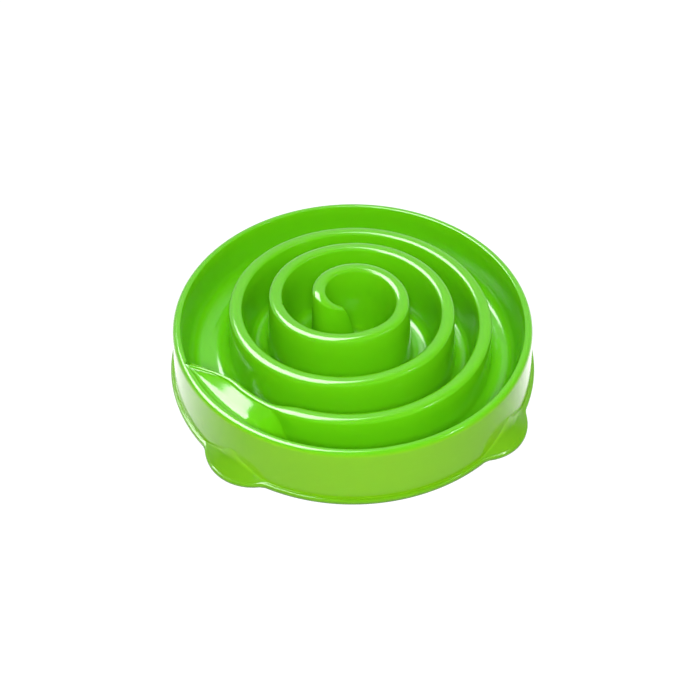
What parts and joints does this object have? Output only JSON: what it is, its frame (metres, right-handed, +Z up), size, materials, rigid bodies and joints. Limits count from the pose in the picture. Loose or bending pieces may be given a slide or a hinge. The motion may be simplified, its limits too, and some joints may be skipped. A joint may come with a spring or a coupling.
{
  "type": "slow feeder bowl",
  "caption": "Round glossy green slow feeder bowl for pets, with a spiral ridge that winds up to the middle, a hollow underside and rubber feet under its ears.",
  "frame": {"origin": "on the floor, under the bowl's axis", "axes": "+Z is up, out of the open side of the bowl; the ears lie on the diagonals of X and Y"},
  "size_m": [0.2836, 0.2836, 0.0729],
  "materials": {
    "bowl_plastic": "gloss moulded",
    "pad_rubber": "matte"
  },
  "bodies": {
    "root": {"bowl": "bowl_plastic", "foot_pad_front_right": "pad_rubber", "foot_pad_back_right": "pad_rubber", "foot_pad_back_left": "pad_rubber", "foot_pad_front_left": "pad_rubber"}
  },
  "joints": []
}
